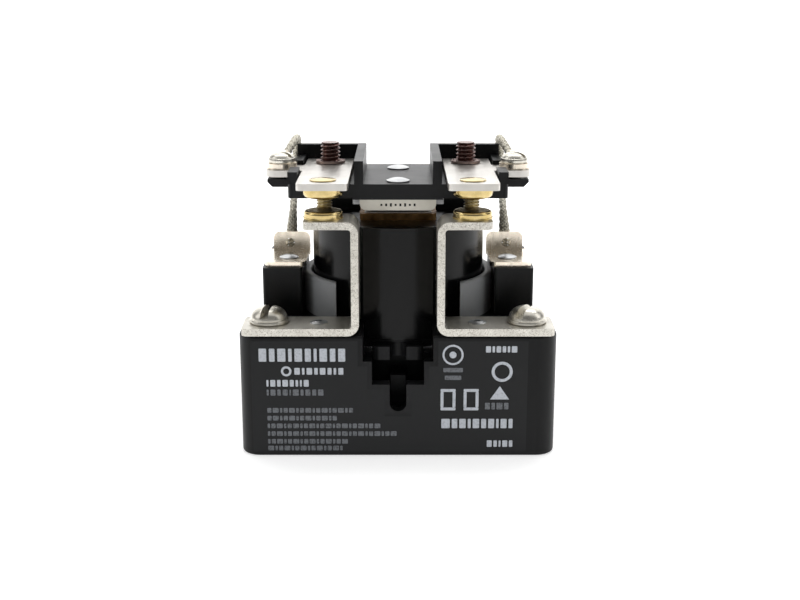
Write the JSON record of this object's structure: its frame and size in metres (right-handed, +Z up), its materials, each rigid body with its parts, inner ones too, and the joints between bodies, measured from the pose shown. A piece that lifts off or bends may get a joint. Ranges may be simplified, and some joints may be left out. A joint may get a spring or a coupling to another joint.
{
  "type": "open power relay",
  "caption": "Open-frame power relay: black moulded base, upright coil, rear-hinged clapper armature and contact arms closing on bent strap terminals.",
  "frame": {"origin": "centre of the underside of the base", "axes": "+Z up from the mounting surface, -Y towards the screw terminals, +X to the right seen from the screw terminals"},
  "size_m": [0.0636, 0.061, 0.0605],
  "materials": {
    "moulded_black": "satin moulded thermoset",
    "tape_black": "glossy tape sleeve",
    "copper": "dull copper",
    "steel": "zinc-plated steel",
    "nickel": "bright nickel plate with press marks",
    "tin": "warm matt tin plate",
    "gold": "gold flash over silver alloy",
    "brass": "dull brass thread",
    "dark_screw": "dark bronze oxide",
    "braid": "tinned copper braid",
    "lead_sleeve": "insulated lead"
  },
  "bodies": {
    "root": {"base": "moulded_black", "locating_key": "moulded_black", "heelpiece": "steel", "core": "steel", "core_screw": "steel", "shading_ring": "copper", "coil_bobbin": "moulded_black", "coil_winding": "copper", "coil_wrap": "tape_black", "hinge_bracket": "steel", "hinge_bracket_rivets": "steel", "hinge_pin": "steel", "backstop": "steel", "return_spring": "steel", "coil_cuff_left": "moulded_black", "coil_cuff_right": "moulded_black", "contact_bracket_left": "nickel", "contact_bracket_right": "nickel", "fixed_contact_left": "gold", "fixed_contact_right": "gold", "bracket_foot_rivet_left": "steel", "bracket_foot_rivet_right": "steel", "rear_terminal_left": "tin", "rear_terminal_right": "tin", "rear_terminal_rivet_left": "steel", "rear_terminal_rivet_right": "steel", "pigtail_left": "braid", "pigtail_right": "braid", "coil_terminal_left": "tin", "coil_terminal_right": "tin", "coil_lead_left": "lead_sleeve", "coil_lead_right": "lead_sleeve"},
    "armature": {"armature_plate": "nickel", "contact_carrier": "moulded_black", "carrier_rivets": "steel", "arm_post_left": "dark_screw", "arm_post_right": "dark_screw", "arm_post_ring_left": "dark_screw", "arm_post_ring_right": "dark_screw", "arm_stop_screw_left": "brass", "arm_stop_screw_right": "brass"},
    "arm_left": {"contact_arm_left": "nickel", "moving_contact_left": "gold", "pigtail_lug_left": "tin", "ear_screw_left": "nickel"},
    "screw_left": {"terminal_screw_left": "nickel"},
    "arm_right": {"contact_arm_right": "nickel", "moving_contact_right": "gold", "pigtail_lug_right": "tin", "ear_screw_right": "nickel"},
    "screw_right": {"terminal_screw_right": "nickel"}
  },
  "joints": [
    {"name": "armature_hinge", "type": "hinge", "parent": "root", "child": "armature", "pos_m": [0, 0.0213, 0.047], "axis": [1, 0, 0], "range_deg": [0, 3.5], "stiffness_Nm_per_rad": 0.15, "springref_deg": -8.59, "deforming": ["return_spring", "pigtail_left", "pigtail_right"]},
    {"name": "arm_left_lift", "type": "hinge", "parent": "armature", "child": "arm_left", "pos_m": [0, 0.0041, 0.054], "axis": [-1, 0, 0], "range_deg": [0, 0.9]},
    {"name": "arm_right_lift", "type": "hinge", "parent": "armature", "child": "arm_right", "pos_m": [0, 0.0041, 0.054], "axis": [-1, 0, 0], "range_deg": [0, 0.9]},
    {"name": "terminal_screw_left_lift", "type": "slide", "parent": "root", "child": "screw_left", "axis": [0, 0, 1], "range_m": [0, 0.0035]},
    {"name": "terminal_screw_right_lift", "type": "slide", "parent": "root", "child": "screw_right", "axis": [0, 0, 1], "range_m": [0, 0.0035]}
  ],
  "couplings": [
    {"joint": "arm_left_lift", "follows": "armature_hinge", "ratio": 0.245},
    {"joint": "arm_right_lift", "follows": "armature_hinge", "ratio": 0.245}
  ]
}
